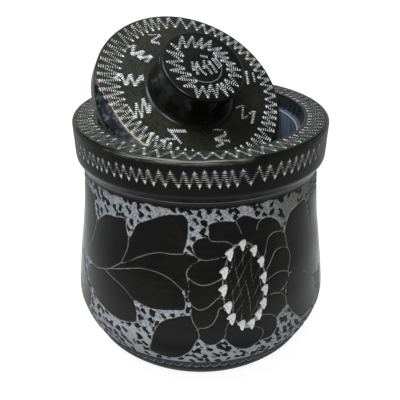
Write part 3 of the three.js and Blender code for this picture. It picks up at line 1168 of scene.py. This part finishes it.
class Stone(Nodes):
    """Black-stained soapstone. Its noises lie in the piece's own frame, so they move with it."""

    def __init__(self, name):
        super().__init__(bpy.data.materials.new(name))
        self.own = self.add("ShaderNodeAttribute", {"attribute_name": "own"}).outputs["Vector"]
        self.patch = self.noise(self.own, 45.0, 3.0, 0.55)
        self.clump = self.noise(self.own, 330.0, 2.0, 0.5)
        self.grain = self.noise(self.own, 800.0, 3.0, 0.6)
        self.speck = self.noise(self.own, 2100.0, 2.0, 0.6)
        self.rings = self.streaks((10.0, 10.0, 700.0), 3.0, 0.6)
        self.mottle = self.weighted(self.grain, 0.65, self.speck, 0.35)

    def streaks(self, scale, detail, roughness):
        """Noise with a scale of its own along each axis."""
        stretched = self.join("ShaderNodeVectorMath", self.own, scale, operation="MULTIPLY")
        return self.noise(stretched, 1.0, detail, roughness)

    def stain(self):
        """Black with olive patches and faint rings from the turning."""
        olive = self.weighted(self.ramp(self.patch, 0.45, 0.7), 0.5, self.ramp(self.clump, 0.4, 0.7), 0.35)
        rings = self.times(self.ramp(self.rings, 0.5, 0.7), 0.5)
        return self.mix(rings, self.mix(olive, BLACK, OLIVE), TURNED)

    def scratched(self):
        """The pale and dim mottle of the scratched ground."""
        dim = self.mix(self.ramp(self.mottle, 0.34, 0.47), GROUND_DIM, GROUND_MID)
        return self.mix(self.ramp(self.mottle, 0.46, 0.60), dim, GROUND_PALE)

    def marked(self, black, pale, ragged_share=1.0, rougher=0.0):
        """The colour, roughness and height of the stain with the ground, lines and gouges in it, whose
        edges the grain makes ragged."""
        crumbs = self.minus(self.grain, 0.5)
        ragged = self.weighted(crumbs, 1.0, self.minus(self.clump, 0.5), 1.1)
        ragged = self.times(ragged, ragged_share)
        fine = self.times(crumbs, 0.25)
        ground = self.ramp(self.plus(self.attribute("ground"), ragged), -0.12, 0.22)
        line = self.ramp(self.plus(self.attribute("scratch"), fine), -0.15, 0.2)
        gouge = self.ramp(self.plus(self.attribute("gouge"), fine), -0.14, 0.22)

        off_ground = self.minus(1.0, self.times(ground, 0.85))
        faint = self.times(self.ramp(self.patch, 0.3, 0.6, 0.4, 1.0), off_ground)
        dusty = self.times(gouge, self.ramp(self.grain, 0.3, 0.6, 0.6, 0.95))
        colour = self.mix(ground, black, pale)
        colour = self.mix(self.times(line, faint), colour, SCRATCH)
        colour = self.mix(dusty, colour, GOUGE)

        cut = self.larger(self.larger(ground, self.times(line, 0.6)), gouge)
        polish = self.plus(self.ramp(self.patch, 0.3, 0.8, *POLISHED), rougher)
        height = self.weighted(self.rings, 0.35, self.times(self.grain, cut), 0.9)
        return colour, self.between(cut, polish, CUT_ROUGHNESS), height

    def finished(self, colour, rough, height):
        bump = self.add("ShaderNodeBump", Strength=BUMP_STRENGTH, Distance=BUMP_DISTANCE, Height=height)
        shader = self.add("ShaderNodeBsdfPrincipled", Base_Color=colour, Roughness=rough, IOR=STONE_IOR,
                          Normal=bump.outputs[0])
        self.add("ShaderNodeOutputMaterial", Surface=shader.outputs[0])
        return self.owner


def pot_stone():
    """The stain with scuffs on the collar, partly painted sheen, ground that varies and is lighter low
    down as painted light, and bare stone inside with a painted highlight along the ledge's edge.
    """
    n = Stone("black_soapstone_pot")
    scuff_and_sheen, bright, bare = n.attribute("scuff_and_sheen"), n.attribute("bright"), n.attribute("bare")
    spots = n.ramp(n.weighted(n.clump, 0.45, n.mottle, 0.55), 0.42, 0.62)
    streaks = n.ramp(n.streaks((60.0, 60.0, 1500.0), 2.0, 0.5), 0.42, 0.6)
    # Scuffs, with a painted sheen in the tan band on the collar's front edge and in the rim's grey on the
    # front left.
    light, heavy_and_sheen = n.mix(spots, SCUFF_DARK, SCUFF_PALE), n.mix(streaks, SCUFF_DARK, SCUFF_TAN_SHEEN)
    scuffed_and_sheen = n.mix(n.ramp(scuff_and_sheen, 0.72, 0.85), light, heavy_and_sheen)
    black = n.mix(n.ramp(scuff_and_sheen, 0.0, 0.8), n.stain(), scuffed_and_sheen)
    pale = n.mix(n.attribute("olive"), n.scratched(), GROUND_OLIVE)
    pale = n.mix(n.attribute("tone"), BORDER_DIM, pale)
    # The bright ground edges the leaves, and is painted light on the low ground.
    pale = n.mix(bright, pale, GROUND_BRIGHT)
    colour, rough, height = n.marked(black, pale, n.minus(1.0, bright), n.times(scuff_and_sheen, 0.3))

    streak = n.streaks((420.0, 420.0, 22.0), 3.0, 0.6)
    raw = n.mix(n.ramp(streak, 0.28, 0.72), BARE_DARK, BARE_STONE)
    # A painted highlight along the ledge's edge.
    colour = n.mix(n.attribute("lip"), n.mix(bare, colour, raw), LEDGE_GLINT)
    height = n.plus(height, n.times(n.times(streak, bare), 1.2))
    return n.finished(colour, n.between(bare, rough, BARE_ROUGHNESS), height)


def lid_stone():
    """The stain with a haze on it, partly a painted sheen, a painted highlight on the disc's left side,
    and broken stone, brown and a pale line at the worn edge, the line partly a painted highlight.
    """
    n = Stone("black_soapstone_lid")
    dust = n.times(n.ramp(n.patch, 0.3, 0.6, 0.6, 1.0), n.ramp(n.grain, 0.38, 0.62, 0.45, 1.35))
    brown = n.times(n.attribute("scuff_and_sheen"), n.ramp(n.clump, 0.3, 0.6, 0.4, 1.0))
    spots = n.ramp(n.weighted(n.clump, 0.6, n.speck, 0.4), 0.48, 0.66)
    black = n.mix(n.times(n.attribute("haze_and_sheen"), dust), n.stain(), HAZE_AND_SHEEN)
    black = n.mix(brown, black, BROWN)
    black = n.mix(n.attribute("chip"), black, n.mix(spots, CHIP_DARK, CHIP_PALE))
    colour, rough, height = n.marked(black, n.scratched())
    colour = n.mix(n.times(n.attribute("worn"), 0.9), colour, WORN_LINE_AND_GLINT)
    return n.finished(colour, rough, height)


FLOOR_NEAR = (0.12, 0.12, 0.12)
FLOOR_BEHIND = (0.26, 0.26, 0.26)
FLOOR_WHITE = 0.90


def floor_material():
    """A white floor. Straight rays see it white all over, and mirrored ones, or ones through glass, see
    it white round the pot, with a painted shadow at the pot's foot and the dim room further out."""
    n = Nodes(bpy.data.materials.new("studio_floor"))
    path = n.add("ShaderNodeLightPath").outputs
    place = n.add("ShaderNodeNewGeometry").outputs["Position"]
    far = n.add("ShaderNodeVectorMath", {"operation": "LENGTH"}, Vector=place).outputs["Value"]
    # Mirrored rays see white round the pot, with a painted shadow at its foot, fading further out.
    pool_and_foot_shadow = n.times(n.ramp(far, 0.08, 0.17, 0.15, 1.0), n.ramp(far, 0.14, 0.36, 1.0, 0.15))
    mirrored = n.larger(path["Is Glossy Ray"], path["Is Transmission Ray"])
    seen = n.larger(path["Is Camera Ray"], n.times(mirrored, pool_and_foot_shadow))
    shade = n.mix(n.ramp(n.split(place)["Y"], -0.3, 0.2), FLOOR_NEAR, FLOOR_BEHIND)
    matt = n.add("ShaderNodeBsdfDiffuse", Color=shade)
    glow = n.add("ShaderNodeEmission", Color=(1.0, 1.0, 1.0), Strength=n.times(seen, FLOOR_WHITE))
    both = n.join("ShaderNodeAddShader", matt.outputs[0], glow.outputs[0])
    n.add("ShaderNodeOutputMaterial", Surface=both)
    return n.owner


# Studio, in metres

# The camera that the photo was taken with, fitted to the pot's circles and outline.
CAMERA_PLACE = (0.0, -0.49199, 0.32337)
CAMERA_TILT = 65.066
CAMERA_TURN = 0.0498
CAMERA_LENS = 74.26

FLOOR_HALF = 40.0
FLOOR_DROP = 0.0002

# Square lamps: name, place, where it points, side, power in watts, and colour.
LAMPS = [
    ("window", (-0.24, -0.25, 1.15), (0, 0, 0.12), 0.42, 9.5, (0.86, 0.93, 1.0)),
    ("fill", (-0.06, -1.0, 0.86), (0, 0, 0.1), 0.4, 9.0, (1.0, 0.98, 0.95)),
]
SKY = (0.97, 0.985, 1.0)


def add_camera():
    data = bpy.data.cameras.new("camera")
    data.lens = CAMERA_LENS
    data.clip_end = 20.0
    camera = add_object("camera", data)
    camera.location = CAMERA_PLACE
    camera.rotation_euler = (math.radians(CAMERA_TILT), 0.0, math.radians(CAMERA_TURN))
    bpy.context.scene.camera = camera


def add_floor():
    signs = [(-1, -1), (1, -1), (1, 1), (-1, 1)]
    corners = [(x * FLOOR_HALF, y * FLOOR_HALF, -FLOOR_DROP) for x, y in signs]
    mesh = bpy.data.meshes.new("studio_floor")
    mesh.from_pydata(corners, [], [range(4)])
    mesh.materials.append(floor_material())
    add_object("studio_floor", mesh)


def add_lamp(name, place, aim, side, power, colour):
    data = bpy.data.lights.new(name, "AREA")
    data.size = side
    data.energy = power
    data.color = colour
    lamp = add_object(name, data)
    lamp.location = place
    lamp.rotation_euler = (Vector(aim) - Vector(place)).to_track_quat("-Z", "Y").to_euler()


def add_world():
    """A booth seen from its open side: white along the horizon, pale behind and above, dim in front."""
    world = bpy.data.worlds.new("studio")
    bpy.context.scene.world = world
    n = Nodes(world)
    way = n.split(n.add("ShaderNodeTexCoord").outputs["Generated"])
    ceiling = n.times(n.ramp(way["Z"], 0.55, 0.9, 0.0, 0.95), n.ramp(way["X"], 0.2, 0.55, 1.0, 0.15))
    back = n.times(n.ramp(way["Y"], -0.9, 0.45, 0.25, 1.0), n.ramp(way["Z"], 0.05, 0.4, 1.0, 0.18))
    horizon = n.ramp(way["Z"], 0.03, 0.10, 1.0, 0.0)
    strength = n.larger(n.larger(ceiling, back), horizon)
    light = n.add("ShaderNodeBackground", Color=SKY, Strength=strength)
    n.add("ShaderNodeOutputWorld", Surface=light.outputs[0])


bpy.context.scene.view_settings.view_transform = "Standard"
add_camera()
add_world()
add_floor()
for lamp in LAMPS:
    add_lamp(*lamp)

pot = make_pot()
pot.data.materials.append(pot_stone())
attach(pot, "pot")
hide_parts("pot")

lid = make_lid()
lid.data.materials.append(lid_stone())
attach(lid, "lid")
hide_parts("lid")
